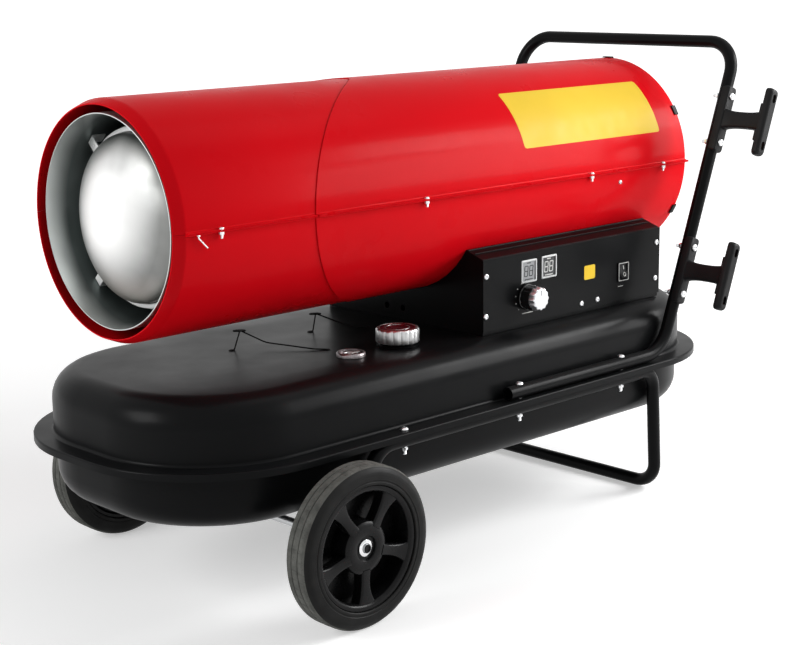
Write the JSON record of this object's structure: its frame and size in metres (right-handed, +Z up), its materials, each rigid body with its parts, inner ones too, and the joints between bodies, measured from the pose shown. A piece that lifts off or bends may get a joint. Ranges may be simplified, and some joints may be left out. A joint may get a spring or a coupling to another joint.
{
  "type": "portable forced air heater",
  "caption": "Portable forced air heater: red barrel with a combustion chamber and fan, on a black control base and flat fuel tank, with two wheels, a rear foot and a tube handle.",
  "frame": {"origin": "middle of the bounding box's underside, on the floor under the tank", "axes": "+Z up; the hot-air outlet faces -X; the control panel faces -Y"},
  "size_m": [1.153, 0.6088, 0.7269],
  "materials": {
    "red_paint": "gloss",
    "black_paint": "satin",
    "black_plastic": "matte",
    "tyre_rubber": "matte",
    "rubber": "matte",
    "silver_sheet": "satin",
    "zinc": "satin",
    "chrome": "polished",
    "cast_aluminium": "satin",
    "motor_grey": "satin",
    "brass": "satin",
    "copper": "satin",
    "ceramic": "gloss",
    "board_green": "matte",
    "display_grey": "satin"
  },
  "bodies": {
    "heater": {"tank_upper_shell": "black_paint", "tank_lower_shell": "black_paint", "chassis_tube": "black_paint", "handle_tube": "black_paint", "rear_guard": "black_paint", "motor_bracket": "black_paint", "base_housing": "black_paint", "control_panel": "black_paint", "wheel_axle": "zinc", "axle_ring_near": "zinc", "axle_ring_far": "zinc", "filler_neck": "zinc", "filler_strainer": "zinc", "wrap_bolt_1": "zinc", "wrap_bolt_2": "zinc", "wrap_bolt_3": "zinc", "wrap_bolt_4": "zinc", "frame_bolt_near_1": "zinc", "frame_bolt_near_2": "zinc", "frame_bolt_near_3": "zinc", "frame_bolt_far_1": "zinc", "frame_bolt_far_2": "zinc", "frame_bolt_far_3": "zinc", "photocell": "black_plastic", "switch_housing": "black_plastic", "cable_gland": "black_plastic", "cord_wrap_lower": "black_plastic", "cord_wrap_upper": "black_plastic", "barrel_front_upper": "red_paint", "barrel_front_lower": "red_paint", "barrel_rear_upper": "red_paint", "barrel_rear_lower": "red_paint", "combustion_chamber": "silver_sheet", "deflector_ring": "silver_sheet", "flame_deflector": "silver_sheet", "burner_head": "silver_sheet", "fuel_nozzle": "brass", "spark_igniter": "ceramic", "motor_housing": "motor_grey", "ignition_transformer": "motor_grey", "pump_body": "cast_aluminium", "pump_cover": "cast_aluminium", "display_unit": "display_grey", "control_board": "board_green", "gauge_body": "chrome", "fuel_line": "copper", "air_line": "copper"},
    "wheel_near": {"tire_near": "tyre_rubber", "rim_near": "black_plastic"},
    "wheel_far": {"tire_far": "tyre_rubber", "rim_far": "black_plastic"},
    "rotor": {"motor_shaft": "zinc", "fan": "cast_aluminium", "pump_rotor": "motor_grey"},
    "thermostat": {"thermostat_knob": "black_plastic"},
    "rocker": {"power_rocker": "black_plastic"},
    "gasket": {"cap_gasket": "rubber"},
    "cap": {"fuel_cap": "chrome"},
    "float": {"gauge_float": "black_plastic"},
    "pointer": {"gauge_pointer": "chrome"}
  },
  "joints": [
    {"name": "wheel_near_spin", "type": "hinge", "parent": "heater", "child": "wheel_near", "pos_m": [-0.3241, -0.25788, 0.11], "axis": [0, 1, 0], "continuous": true},
    {"name": "wheel_far_spin", "type": "hinge", "parent": "heater", "child": "wheel_far", "pos_m": [-0.3241, 0.28313, 0.11], "axis": [0, 1, 0], "continuous": true},
    {"name": "rotor_spin", "type": "hinge", "parent": "heater", "child": "rotor", "pos_m": [0.3009, 0.01263, 0.5273], "axis": [1, 0, 0], "continuous": true},
    {"name": "thermostat_turn", "type": "hinge", "parent": "heater", "child": "thermostat", "pos_m": [0.1129, -0.17238, 0.361], "axis": [0, 1, 0], "range_deg": [0, 270]},
    {"name": "power_rock", "type": "hinge", "parent": "heater", "child": "rocker", "pos_m": [0.3399, -0.15468, 0.368], "axis": [1, 0, 0], "range_deg": [0, 24]},
    {"name": "cap_rise", "type": "slide", "parent": "heater", "child": "gasket", "axis": [0, 0, 1], "range_m": [0, 0.009]},
    {"name": "cap_turn", "type": "hinge", "parent": "gasket", "child": "cap", "pos_m": [-0.1001, -0.10237, 0.33], "axis": [0, 0, 1], "range_deg": [0, 540]},
    {"name": "float_rise", "type": "slide", "parent": "heater", "child": "float", "axis": [0, 0, 1], "range_m": [0, 0.11]},
    {"name": "gauge_turn", "type": "hinge", "parent": "heater", "child": "pointer", "pos_m": [-0.1921, -0.10437, 0.319], "axis": [0, 0, 1], "range_deg": [0, 300]}
  ],
  "couplings": [
    {"joint": "cap_rise", "follows": "cap_turn", "m_per_rad": 0.00095398},
    {"joint": "gauge_turn", "follows": "float_rise", "rad_per_m": 47.552}
  ]
}
